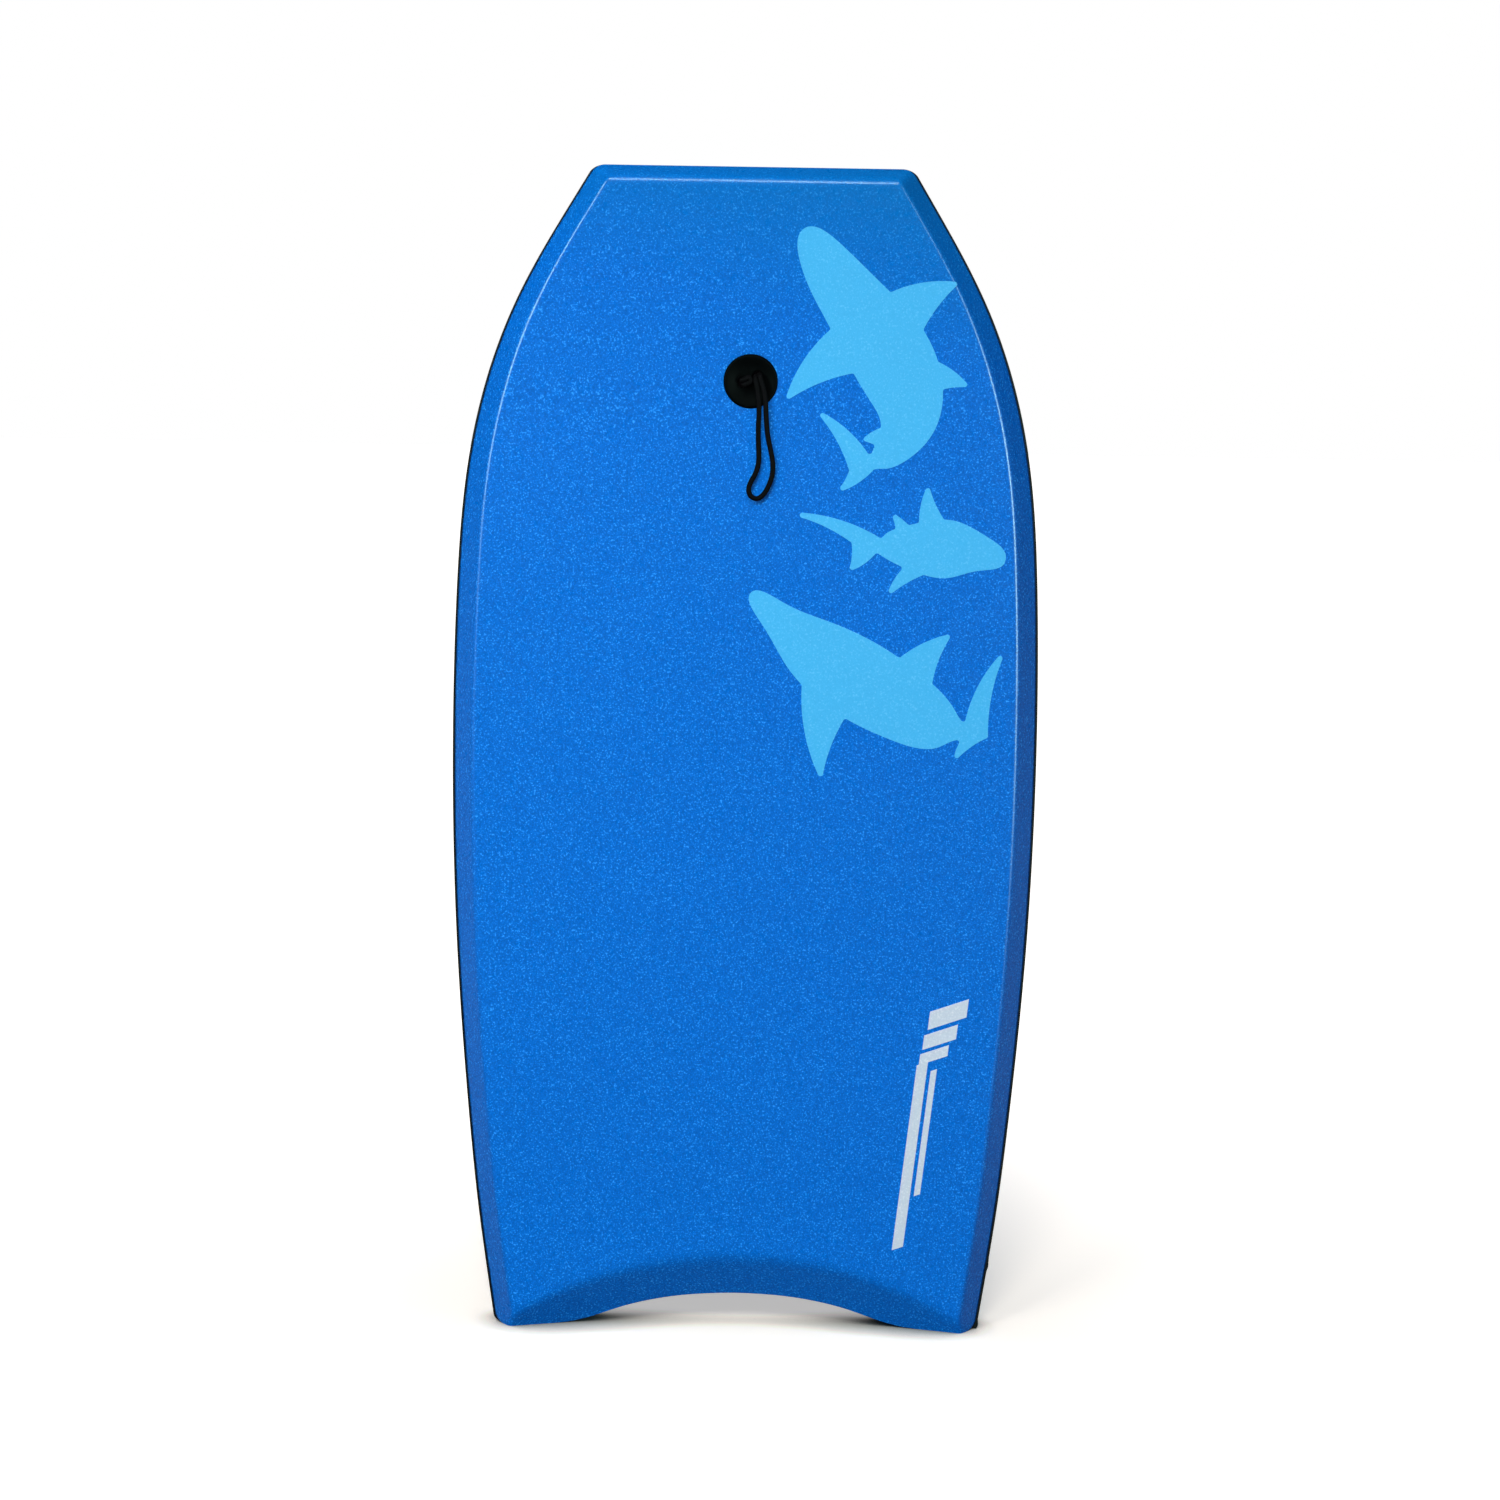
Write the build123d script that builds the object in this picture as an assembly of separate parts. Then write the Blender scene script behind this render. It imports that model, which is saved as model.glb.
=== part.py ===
from build123d import *
import os
from math import asin, cos, radians, sin, tan

# A bodyboard that stands on its tail, in millimetres. X runs across the board, Y from the deck (front)
# to the slick (back), Z from the tail up to the nose. The origin is on the floor, mid-width and mid-depth.

# ---- board shape ----
LENGTH = 940.0
THICKNESS = 50.0
CHINE_DEPTH = 20.0          # deck down to the apex, the widest line of the rail
CHINE_INSET = 16.0          # apex in to the deck crease
RAIL_INSET = 7.0            # apex in to the bottom edge
NOSE_BEVEL = 9.3            # nose tip down to the deck crease
NOSE_UNDERCUT = 4.0         # nose tip down to the bottom edge
ROCKER_START = 720.0        # the nose curves forward from here
ROCKER_RADIUS = 1900.0
TAIL_DEPTH = 27.0           # crescent depth
TAIL_RADIUS = 344.0
TAIL_HALF_CHORD = 150.0     # where the crescent runs out into the flat horns
TAIL_SHOULDER = (95.0, 13.5)
TAIL_BEVEL_RISE = 36.0
TAIL_CORNER_RADIUS = 9.0
NOSE_CORNER_RADIUS = 13.0
CREASE_RADIUS = 5.0
# height and half-width of the apex line, tail to nose, run on past both ends
STATIONS = ((-20, 193.3), (60, 205.3), (160, 217.0), (320, 229.2), (480, 233.2), (600, 230.9),
            (680, 225.5), (750, 213.8), (810, 194.5), (870, 166.6), (915, 139.3), (960, 109.6))
# the straight-sided outline that rounds the corners, half of it from tail to nose; it only touches
# the board at the two corners
CORNER_OUTLINE = ((197.7, 0), (249.7, 330), (249.7, 640), (228.3, LENGTH - 150), (124.3, LENGTH))

# ---- layers ----
SKIN = 3.0
SKIN_SIDE = 3.6             # horizontal shift that leaves one skin on the sloping sides
SLICK = 1.5
RAIL_PROUD = 1.4            # the rail bands stand out from the deck skin
TAIL_BAND_HALF = 182.0      # the tail band stops here, where the rail bands wrap round the tail corners
NOSE_BAND_HALF = 113.0
PRINT = 0.25
MARGIN = 10.0
WIDE = 300.0
BAND_REACH = 90.0           # taller than the nose and tail bands
DECK_FACE_AREA = 20000.0    # the two faces of the flat deck are larger than this

# ---- leash plug ----
PLUG_Z = 773.0
FLANGE_RADIUS = 21.4
FLANGE_LIP = 1.8
FLANGE_SUNK = 0.6
FLANGE_BRIM = 2.2           # the rounded outer edge of the flange
DISH_DEPTH = 1.5
DISH_FLOOR = 9.0            # radius of the dish's flat floor
WEB = 3.0
CUP_RADIUS = 13.8
CUP_BORE = 12.0
CUP_LENGTH = 34.0
SLEEVE_RADIUS = 16.0
SLEEVE_TOP = 6.0
BASE_FLANGE = 2.0
BASE_SUNK = 0.2             # the lower flange sits this far inside the slick face
COIN_SLOT = (20.0, 2.5, 1.2)
HOLE_RADIUS = 4.1
HOLE_PITCH = 12.8
HOLE_MIDDLE = (-0.4, 1.55)
HOLE_ANGLE = 25.4
HOLE_ROUND = 0.8

# ---- leash string, in the plug's own axes: right, up and out from the deck ----
STRING_DIAMETER = 3.8
STRING_ROUTE = (
    (3.7, 3.5, -4.5), (3.7, 3.5, 0.2), (4.0, 0.7, 2.9), (5.5, -6.2, 4.1), (6.8, -15.2, 6.0),
    (7.1, -25.2, 6.0), (6.5, -35.8, 4.9), (6.8, -46.4, 4.6), (7.5, -57.0, 4.8), (7.2, -65.7, 5.0),
    (4.6, -73.4, 5.2), (1.1, -79.2, 5.3), (-0.7, -85.2, 5.5), (1.6, -90.8, 5.6), (7.0, -92.6, 5.6),
    (12.0, -88.6, 5.6), (15.8, -81.6, 5.5), (18.5, -73.2, 5.2), (18.7, -63.6, 5.0),
    (16.8, -54.0, 4.8), (14.6, -44.9, 4.7), (13.2, -35.2, 5.1), (12.6, -25.6, 6.1),
    (12.1, -16.5, 6.0), (11.0, -8.5, 4.4), (9.2, -2.4, 3.9), (7.5, 2.4, 2.9), (7.1, 5.1, 0.2),
    (7.1, 5.1, -4.5))
STRING_TURN_SHARE = 0.45    # how much of its shorter run each arc of the string takes up
BIGHT_OUT = 1.3             # how far the bight rides above the deck line
BIGHT_TURN = 2.5
BIGHT_TIP = -2.0
BIGHT_HALF = 2.0
KNOT = (21.0, 9.0, 7.0)
KNOT_ROUND = 3.4
KNOT_SIDE_ROUND = 4.3

# ---- prints, as (x, z) on the deck: snout to tail stock with half-widths, then the tail fork as root, tip,
# notch, tip, root, then fins as root, tip, root ----
SWIMMER_HIGH = (
    ((40, 893), (56, 868), (80, 836), (106, 801), (123, 765), (121, 733), (103, 713), (88, 706)),
    (0, 19, 26, 32, 29, 19, 9, 4.5),
    ((96, 714), (49, 753), (79, 704), (68, 686), (100, 707)),
    (((104, 842), (163, 853), (130, 804)), ((138, 794), (173, 771), (142, 766)),
     ((66, 818), (27, 757), (88, 782)), ((110, 740), (88, 728), (106, 720))))
SWIMMER_MIDDLE = (
    ((204, 634), (186, 640), (160, 643), (132, 644), (108, 645), (94, 646)),
    (0, 14, 23, 19, 9, 4),
    ((108, 649), (24, 670), (82, 647), (80, 624), (103, 641)),
    (((136, 655), (142, 695), (160, 660)), ((130, 634), (110, 603), (150, 626)),
     ((134, 652), (112, 672), (118, 648))))
SWIMMER_LOW = (
    ((3, 606), (20, 590), (50, 564), (88, 539), (126, 517), (160, 500), (182, 495)),
    (0, 12, 25, 32, 29, 17, 5),
    ((175, 503), (208, 566), (194, 493), (167, 472), (173, 491)),
    (((112, 546), (164, 576), (148, 532)), ((46, 546), (62, 455), (84, 514))))
SWIMMERS = {"deck_print_high": SWIMMER_HIGH, "deck_print_middle": SWIMMER_MIDDLE,
            "deck_print_low": SWIMMER_LOW}
# slanted side flash: top z, height, left x and width of each bar
FLASH_BARS = ((280, 15, 153, 31), (259, 12, 151, 27), (242, 9, 150, 23), (228, 154, 149, 9),
              (222, 104, 161, 5))
FLASH_LEAN = -0.11          # the bars follow the rail inward towards the tail
FLASH_SHEAR = 0.35
LEADING_BOW = 0.08          # how far a fin's edges bow, as a share of their length
TRAILING_BOW = 0.06
FIN_ROUND = 2.0             # fin tips and fin roots

NOSE_LIFT = (LENGTH - NOSE_BEVEL - ROCKER_START) ** 2 / (2 * ROCKER_RADIUS)
DECK_Y = -(THICKNESS - NOSE_LIFT) / 2


def rocker_angle(depth, z):
    return asin((z - ROCKER_START) / (ROCKER_RADIUS + depth))


def layer_y(depth, z):
    """Y of the surface that lies a given depth under the deck, at height z."""
    if z <= ROCKER_START:
        return DECK_Y + depth
    return DECK_Y - ROCKER_RADIUS + (ROCKER_RADIUS + depth) * cos(rocker_angle(depth, z))


def slab(top, bottom):
    """The layer between two depths under the deck, larger than the board all round."""
    low, high = -2 * MARGIN, LENGTH + 2 * MARGIN
    middle = (ROCKER_START + high) / 2

    def stop(depth, z):
        return (layer_y(depth, z), z)

    edges = [
        Line(stop(top, low), stop(top, ROCKER_START)),
        ThreePointArc(stop(top, ROCKER_START), stop(top, middle), stop(top, high)),
        Line(stop(top, high), stop(bottom, high)),
        ThreePointArc(stop(bottom, high), stop(bottom, middle), stop(bottom, ROCKER_START)),
        Line(stop(bottom, ROCKER_START), stop(bottom, low)),
        Line(stop(bottom, low), stop(top, low)),
    ]
    return extrude(Plane.YZ * make_face(edges), amount=WIDE, both=True)


def sides(inset):
    """Both rails as one loft: chine, apex and undercut rail, drawn past the deck and the slick."""
    sections = []
    for z, half_width in STATIONS:
        apex = half_width - inset
        top = apex - CHINE_INSET * (CHINE_DEPTH + MARGIN) / CHINE_DEPTH
        low = apex - RAIL_INSET * (THICKNESS - CHINE_DEPTH + MARGIN) / (THICKNESS - CHINE_DEPTH)
        deck = layer_y(0, z)
        right = [(top, deck - MARGIN), (apex, deck + CHINE_DEPTH), (low, deck + THICKNESS + MARGIN)]
        left = [(-x, y) for x, y in reversed(right)]
        sections.append(Plane.XY.offset(z) * make_face(Polyline(*right, *left, close=True)))
    return loft(sections)


def nose_keep(inset):
    """Everything under the nose bevel and the undercut nose face."""
    crease = Vector(layer_y(0, LENGTH - NOSE_BEVEL), LENGTH - NOSE_BEVEL - inset)
    apex = Vector(layer_y(CHINE_DEPTH, LENGTH), LENGTH - inset)
    front = crease + (crease - apex) * 2
    drop = NOSE_UNDERCUT / (THICKNESS - CHINE_DEPTH)
    back = Vector(apex.X + 2 * THICKNESS, apex.Y - 2 * THICKNESS * drop)
    outline = Polyline((front.X, -WIDE), (front.X, front.Y), (apex.X, apex.Y), (back.X, back.Y),
                       (back.X, -WIDE), close=True)
    return extrude(Plane.YZ * make_face(outline), amount=WIDE, both=True)


def tail_cut(inset):
    """The crescent, its bevel towards the deck, and everything under the horns."""
    floor = Pos(0, 0, inset - WIDE / 2) * Box(2 * WIDE, WIDE, WIDE)
    shoulder_x, shoulder_z = TAIL_SHOULDER
    crest = Spline((-TAIL_HALF_CHORD, 0), (-shoulder_x, shoulder_z), (0, TAIL_DEPTH),
                   (shoulder_x, shoulder_z), (TAIL_HALF_CHORD, 0), tangents=((1, 0), (1, 0)))
    crescent = make_face([crest, Polyline((TAIL_HALF_CHORD, 0), (TAIL_HALF_CHORD, -WIDE),
                                          (-TAIL_HALF_CHORD, -WIDE), (-TAIL_HALF_CHORD, 0))])
    arch = extrude(Pos(0, 0, inset) * (Plane.XZ * crescent), amount=WIDE / 2, both=True)
    start_y = DECK_Y - CHINE_DEPTH + inset
    start_z = TAIL_DEPTH + 2 * TAIL_BEVEL_RISE - TAIL_RADIUS
    slope = Vector(0, CHINE_DEPTH, -TAIL_BEVEL_RISE)
    disc = Plane(origin=(0, start_y, start_z), z_dir=(0, 1, 0)) * Circle(TAIL_RADIUS)
    bevel = extrude(disc, amount=4 * slope.length, dir=slope)
    return floor + arch + bevel


def corner_keep(inset, side_inset):
    """A tall outline just outside the board that only rounds its four corners in plan."""
    half = [(x - side_inset, min(max(z, inset), LENGTH - inset)) for x, z in CORNER_OUTLINE]
    points = half + [(-x, z) for x, z in reversed(half)]
    outline = make_face(Polyline(*points, close=True))
    outline = fillet(outline.vertices().sort_by(Axis.Y)[-2:], NOSE_CORNER_RADIUS - inset)
    outline = fillet(outline.vertices().sort_by(Axis.Y)[:2], TAIL_CORNER_RADIUS - inset)
    return extrude(Plane.XZ * outline, amount=WIDE, both=True)


def board(top, bottom, inset, side_inset):
    """The board's shape between two depths, drawn in from the outer shape."""
    body = slab(top, bottom) & sides(side_inset)
    body = body & nose_keep(inset)
    body = body & corner_keep(inset, side_inset)
    return body - tail_cut(inset)


def crease_edges(body):
    """The edges where the flat deck meets the chines, the nose bevel and the tail bevel."""
    faces = [face for face in body.faces() if face.area > DECK_FACE_AREA]
    deck = [face for face in faces if face.center().Y < DECK_Y + 1]
    deck_edges = [edge for face in deck for edge in face.edges()]
    return [edge for edge in deck_edges if not on_rocker_line(edge)]


def on_rocker_line(edge):
    ends = [edge @ 0, edge @ 1]
    return all(abs(end.Z - ROCKER_START) < 0.1 for end in ends)


def plug_plane():
    """The leash plug's axes: right, up and out, square to the deck where the plug sits."""
    tilt = rocker_angle(0, PLUG_Z)
    return Plane(origin=(0, layer_y(0, PLUG_Z), PLUG_Z), x_dir=(1, 0, 0), z_dir=(0, -cos(tilt), -sin(tilt)))


def barrel(radius, low, high):
    return Pos(0, 0, (low + high) / 2) * Cylinder(radius, high - low)


def plug_room():
    """What the plug takes out of the board: a bore and a seat for each flange."""
    bore = barrel(SLEEVE_RADIUS, -THICKNESS - MARGIN, MARGIN)
    seat = barrel(FLANGE_RADIUS, -FLANGE_SUNK, MARGIN)
    back_seat = barrel(FLANGE_RADIUS, -THICKNESS - MARGIN, -THICKNESS + BASE_SUNK + BASE_FLANGE)
    return plug_plane().location * (bore + seat + back_seat)


def hole_place(along, across, out):
    """A point in the plug's axes, from its place along and across the line through the two holes."""
    angle = radians(HOLE_ANGLE)
    return (HOLE_MIDDLE[0] + along * cos(angle) - across * sin(angle),
            HOLE_MIDDLE[1] + along * sin(angle) + across * cos(angle), out)


def plug_cap():
    """Dished upper flange with two string holes, over a cup whose wall is the plug's screw."""
    floor = -DISH_DEPTH
    under = floor - WEB
    bowl = Spline((DISH_FLOOR, floor), (FLANGE_RADIUS - FLANGE_BRIM, FLANGE_LIP - 0.2),
                  tangents=((1, 0), (1, 0.2)))
    lip = ThreePointArc(bowl @ 1, (FLANGE_RADIUS - FLANGE_BRIM / 3, FLANGE_LIP / 1.5), (FLANGE_RADIUS, 0.2))
    wall = Polyline(lip @ 1, (FLANGE_RADIUS, -FLANGE_SUNK), (CUP_RADIUS, -FLANGE_SUNK),
                    (CUP_RADIUS, -CUP_LENGTH), (CUP_BORE, -CUP_LENGTH), (CUP_BORE, under), (0, under),
                    (0, floor), bowl @ 0)
    body = revolve(Plane.XZ * make_face([bowl, lip, wall]), Axis.Z)
    for side in (-1, 1):
        place = hole_place(side * HOLE_PITCH / 2, 0, floor)
        body = body - Pos(*place) * Cylinder(HOLE_RADIUS, 4 * WEB)
    rims = [edge for edge in body.edges().filter_by(GeomType.CIRCLE)
            if abs(edge.radius - HOLE_RADIUS) < 0.01 and edge.center().Z > floor - 1]
    return fillet(rims, HOLE_ROUND)


def plug_base():
    """Lower flange with a coin slot, and the sleeve that the cup screws into."""
    face = -THICKNESS + BASE_SUNK
    flange = barrel(FLANGE_RADIUS, face, face + BASE_FLANGE)
    rim = flange.edges().filter_by(GeomType.CIRCLE).sort_by(Axis.Z)[0]
    flange = fillet(rim, BASE_FLANGE / 2)
    sleeve = barrel(SLEEVE_RADIUS, face + BASE_FLANGE / 2, -SLEEVE_TOP)
    bore = barrel(CUP_RADIUS, face + BASE_FLANGE, 0)
    slot = Pos(0, 0, face) * Box(COIN_SLOT[0], COIN_SLOT[1], 2 * COIN_SLOT[2])
    return flange + sleeve - bore - slot


def string_radii(points):
    """As large an arc at each corner as its two runs allow."""
    radii = []
    for before, here, after in zip(points, points[1:], points[2:]):
        first, second = here - before, after - here
        turn = radians(first.get_angle(second))
        radii.append(STRING_TURN_SHARE * min(first.length, second.length) / tan(turn / 2))
    return radii


def tube(path):
    section = Plane(origin=path @ 0, z_dir=path % 0) * Circle(STRING_DIAMETER / 2)
    return sweep(section, path=path)


def leash_string():
    """The loop that hangs from the plug, both ends going down the same hole to the knot."""
    points = [Vector(*point) for point in STRING_ROUTE]
    radii = string_radii(points)
    path = FilletPolyline(*points, radius=radii)
    solid = tube(path)
    print("leash_string radii", [round(radius, 1) for radius in radii])
    expected = path.length * section_area()
    print("leash_string length", round(path.length, 1), "volume ratio", round(solid.volume / expected, 4))
    return solid


def section_area():
    return Circle(STRING_DIAMETER / 2).area


def string_bight():
    """The string's folded middle, hitched over the bridge between the two holes."""
    down = -DISH_DEPTH - WEB
    hole = -HOLE_PITCH / 2
    rise = BIGHT_OUT - BIGHT_TURN
    inside = BIGHT_TURN * (1 - cos(radians(45)))
    edges = []
    for side in (-1, 1):
        foot = hole_place(hole, side * BIGHT_HALF, down)
        top = hole_place(hole, side * BIGHT_HALF, rise)
        bend = hole_place(hole + inside, side * BIGHT_HALF, BIGHT_OUT - inside)
        over = hole_place(hole + BIGHT_TURN, side * BIGHT_HALF, BIGHT_OUT)
        tip = hole_place(BIGHT_TIP, side * BIGHT_HALF, BIGHT_OUT)
        edges += [Line(foot, top), ThreePointArc(top, bend, over), Line(over, tip)]
    fold = ThreePointArc(hole_place(BIGHT_TIP, -BIGHT_HALF, BIGHT_OUT),
                         hole_place(BIGHT_TIP + BIGHT_HALF, 0, BIGHT_OUT),
                         hole_place(BIGHT_TIP, BIGHT_HALF, BIGHT_OUT))
    first, second = edges[:3], edges[3:]
    path = Wire(first + [fold] + second[::-1])
    return sweep(Plane(origin=Vector(*hole_place(hole, -BIGHT_HALF, down)), z_dir=(0, 0, 1))
                 * Circle(STRING_DIAMETER / 2), path=path)


def string_knot():
    """The stopper knot, pulled up under the bridge."""
    length, width, depth = KNOT
    top = -DISH_DEPTH - WEB
    block = Box(length, width, depth)
    block = fillet(block.edges().filter_by(Axis.Z), KNOT_SIDE_ROUND)
    block = fillet(block.faces().sort_by(Axis.Z)[0].edges(), KNOT_ROUND)
    return Pos(HOLE_MIDDLE[0], HOLE_MIDDLE[1], top - depth / 2) * Rot(0, 0, HOLE_ANGLE) * block


def swimmer(spine, half_widths):
    """A smooth body outline round a bent spine, with a round snout and a narrow tail stock."""
    points = [Vector(*point) for point in spine]
    left, right = [points[0]], [points[0]]
    for index in range(1, len(points)):
        after = points[min(index + 1, len(points) - 1)]
        along = (after - points[index - 1]).normalized()
        across = Vector(-along.Y, along.X) * half_widths[index]
        left.append(points[index] + across)
        right.append(points[index] - across)
    ahead = (points[1] - points[0]).normalized()
    astern = (points[-1] - points[-2]).normalized()
    snout = Vector(-ahead.Y, ahead.X)
    port = Spline(*left, tangents=(snout, astern))
    starboard = Spline(*right, tangents=(-snout, astern))
    return make_face([port, Line(left[-1], right[-1]), starboard])


def bowed(start, end, away, share):
    """An arc whose middle is shifted by a share of its length, away from a point."""
    across = Vector(start.Y - end.Y, end.X - start.X)
    if across.dot(away - start) > 0:
        across = -across
    return ThreePointArc(start, (start + end) * 0.5 + across * share, end)


def fin(front, tip, back):
    """A swept fin: its leading edge bows out and its trailing edge bows in."""
    front, tip, back = Vector(*front), Vector(*tip), Vector(*back)
    return make_face([bowed(front, tip, back, LEADING_BOW), bowed(tip, back, front, -TRAILING_BOW),
                      Line(back, front)])


def tail_fork(*outline):
    """Two swept lobes on one tail stock."""
    root, tip, notch, other_tip, other_root = [Vector(*point) for point in outline]
    return make_face([bowed(root, tip, notch, LEADING_BOW), bowed(tip, notch, root, -TRAILING_BOW),
                      bowed(notch, other_tip, other_root, -TRAILING_BOW),
                      bowed(other_tip, other_root, notch, LEADING_BOW), Line(other_root, root)])


def prism(outline):
    return extrude(Plane.XZ * outline, amount=WIDE, both=True)


def swimmer_print(spine, half_widths, fork, fins):
    """One swimmer in one film on the deck, with rounded fin tips and roots."""
    outline = swimmer(spine, half_widths) + tail_fork(*fork)
    for points in fins:
        outline = outline + fin(*points)
    body = prism(outline)
    return slab(-PRINT, 0) & fillet(body.edges().filter_by(Axis.Y), FIN_ROUND)


def side_flash():
    """Plain slanted bars that run down beside the right rail."""
    bars = []
    for top, height, left, width in FLASH_BARS:
        low = top - height
        shift_top = FLASH_LEAN * (FLASH_BARS[0][0] - top)
        shift_low = FLASH_LEAN * (FLASH_BARS[0][0] - low)
        rise = FLASH_SHEAR * width
        corners = ((left + shift_top, top - rise), (left + width + shift_top, top),
                   (left + width + shift_low, low), (left + shift_low, low - rise))
        bars.append(slab(-PRINT, 0) & prism(make_face(Polyline(*corners, close=True))))
    return Compound(children=bars)


core = board(SKIN, THICKNESS - SLICK, SKIN, SKIN_SIDE)
upper = board(0, CHINE_DEPTH, 0, 0)
upper = fillet(crease_edges(upper), CREASE_RADIUS)
ring = board(CHINE_DEPTH, THICKNESS - SLICK, 0, -RAIL_PROUD) - core
nose_box = Pos(0, 0, LENGTH) * Box(2 * NOSE_BAND_HALF, WIDE, BAND_REACH)
tail_box = Box(2 * TAIL_BAND_HALF, WIDE, 2 * BAND_REACH)
side_ring = ring - nose_box - tail_box
right_box = Pos(WIDE, 0, LENGTH / 2) * Box(2 * WIDE, WIDE, 2 * LENGTH)
left_box = Pos(-WIDE, 0, LENGTH / 2) * Box(2 * WIDE, WIDE, 2 * LENGTH)
room = plug_room()
plug = plug_plane().location

parts = {
    "foam_core": core - room,
    "deck_skin": upper - core - room,
    "rail_band_right": side_ring & right_box,
    "rail_band_left": side_ring & left_box,
    "nose_band": ring & nose_box,
    "tail_band": ring & tail_box,
    "slick_bottom": board(THICKNESS - SLICK, THICKNESS, 0, 0) - room,
    "plug_cap": plug * plug_cap(),
    "plug_base": plug * plug_base(),
    "string_knot": plug * string_knot(),
    "string_bight": plug * string_bight(),
    "leash_string": plug * leash_string(),
    "deck_print_side": side_flash(),
}
for name, swimmer_shape in SWIMMERS.items():
    parts[name] = swimmer_print(*swimmer_shape)

os.makedirs("parts", exist_ok=True)
for name, shape in parts.items():
    export_step(shape, f"parts/{name}.step")
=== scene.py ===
from math import asin, atan, ceil, cos, exp, hypot, pi, radians, sin, sqrt, tan

import bmesh
import bpy
import numpy as np
from mathutils import Matrix, Vector, noise
from mathutils.bvhtree import BVHTree


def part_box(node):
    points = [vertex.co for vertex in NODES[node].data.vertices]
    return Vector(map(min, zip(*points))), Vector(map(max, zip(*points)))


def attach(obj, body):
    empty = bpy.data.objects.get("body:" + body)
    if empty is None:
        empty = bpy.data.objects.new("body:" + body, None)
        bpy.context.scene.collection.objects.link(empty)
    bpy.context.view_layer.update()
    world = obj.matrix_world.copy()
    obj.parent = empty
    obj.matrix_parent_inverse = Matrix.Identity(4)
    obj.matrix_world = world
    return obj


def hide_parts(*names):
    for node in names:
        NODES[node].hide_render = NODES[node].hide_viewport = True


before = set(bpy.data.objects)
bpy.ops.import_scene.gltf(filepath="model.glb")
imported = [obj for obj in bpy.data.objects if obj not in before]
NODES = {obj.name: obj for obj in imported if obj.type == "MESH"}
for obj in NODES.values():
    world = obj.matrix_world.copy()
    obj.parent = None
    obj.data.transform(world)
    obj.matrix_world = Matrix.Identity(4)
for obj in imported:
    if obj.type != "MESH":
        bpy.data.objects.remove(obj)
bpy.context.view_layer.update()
MM = 0.001

# ---- camera: far in front of the deck, a little above its middle, and slightly rolled ----
CAMERA_DISTANCE = 3.0
CAMERA_ELEVATION = 8
CAMERA_ROLL = 0.95
CAMERA_TARGET = (0.0043, 0.0, 0.4771)
CAMERA_LENS = 89.6
ROOM_COLOUR = (0.2, 0.5, 0.95)
ROOM_LIGHT = 0.08
CEILING_LIGHT = 0.3
CEILING_RISE = (0.35, 0.85)  # upward parts of the directions where the ceiling begins and is brightest
FLOOR_GLOW = (0.42, 1.0)     # the floor's glow under the board, dimmed there as painted shade, and far away
FLOOR_FADE = (0.16, 0.8)     # distances from the board between which the glow rises
CONTACT_REACH = 0.035        # how near the board the floor gets its painted contact shadow
CONTACT_SHADE = (0.16, 0.86)  # how open the floor is where the shade is full, and where it ends

# ---- board, in metres; depths are measured from the deck towards the slick ----
CHINE_DEPTH = 20 * MM
CHINE_INSET = 16 * MM
RAIL_INSET = 7 * MM
NOSE_BEVEL = 9.3 * MM
NOSE_UNDERCUT = 4 * MM
ROCKER_START = 720 * MM
ROCKER_RADIUS = 1900 * MM
TAIL_BEVEL_RISE = 36 * MM
TAIL_RADIUS = 344 * MM
TAIL_CORNER = 9 * MM
NOSE_CORNER = 13 * MM
SKIN = 3 * MM
SKIN_SIDE = 3.6 * MM
SLICK = 1.5 * MM
RAIL_PROUD = 1.8 * MM
LEFT_BULGE = 0.9 * MM       # how far the strips stand out of the rounded tail corners
RIGHT_BULGE = 3.2 * MM
SEAM_Z = 54 * MM            # the right strip's glued end: its height, step and spread
SEAM_STEP = 0.9 * MM
SEAM_SPREAD = 3 * MM
STRIP_CURL = 0.9 * MM       # rounding of the strips' outer edges
STRIP_WAVE = 1.4 * MM       # slight waves along the strips
SLICK_ROLL = 0.9 * MM       # how far the slick's edge rolls over, and within what distance
SLICK_ROLL_REACH = 2.2 * MM
RAIL_WRAP_X = 182 * MM      # the rail bands meet the tail band here
NOSE_BAND_X = 113 * MM      # and the nose band here
CHINE_SOFT = 2.6 * MM       # how softly each crease is rounded, as a depth
NOSE_SOFT = 9 * MM
TAIL_SOFT = 3 * MM
BEVEL_WAVE = 0.5 * MM       # slight waves of the foam along the bevels
WAVE_FADE = 4 * MM          # depth over which the waves fade at a bevel's edges
CRESCENT_REACH = 150 * MM   # the tail edge is level beyond this
SIDE_REACH = (25 * MM, 918 * MM)    # heights between which the sides are clear of the round corners
GROWTH_SPAN = 10 * MM       # height over which the sides' slope at each end is measured

# ---- leash plug and its string ----
PLUG_Z = 773 * MM
FLANGE_RADIUS = 21.4 * MM
FLANGE_SUNK = 0.6 * MM
FLANGE_CLEAR = 0.05 * MM
PRESS_NEAR = (0.35 * MM, 0.9 * MM)  # the dent beside the flange: depth and reach
PRESS_FAR = (0.25 * MM, 5 * MM)     # the soft ring round it
HOLE_MIDDLE = (-0.4, 1.55)
HOLE_ANGLE = 25.4
STRING_DIAMETER = 3.8 * MM
BRAID_SIDES = 40
BRAID_PLAITS = 8
BRAID_RELIEF = 0.16 * MM
BRAID_STEP = 0.28 * MM
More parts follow.
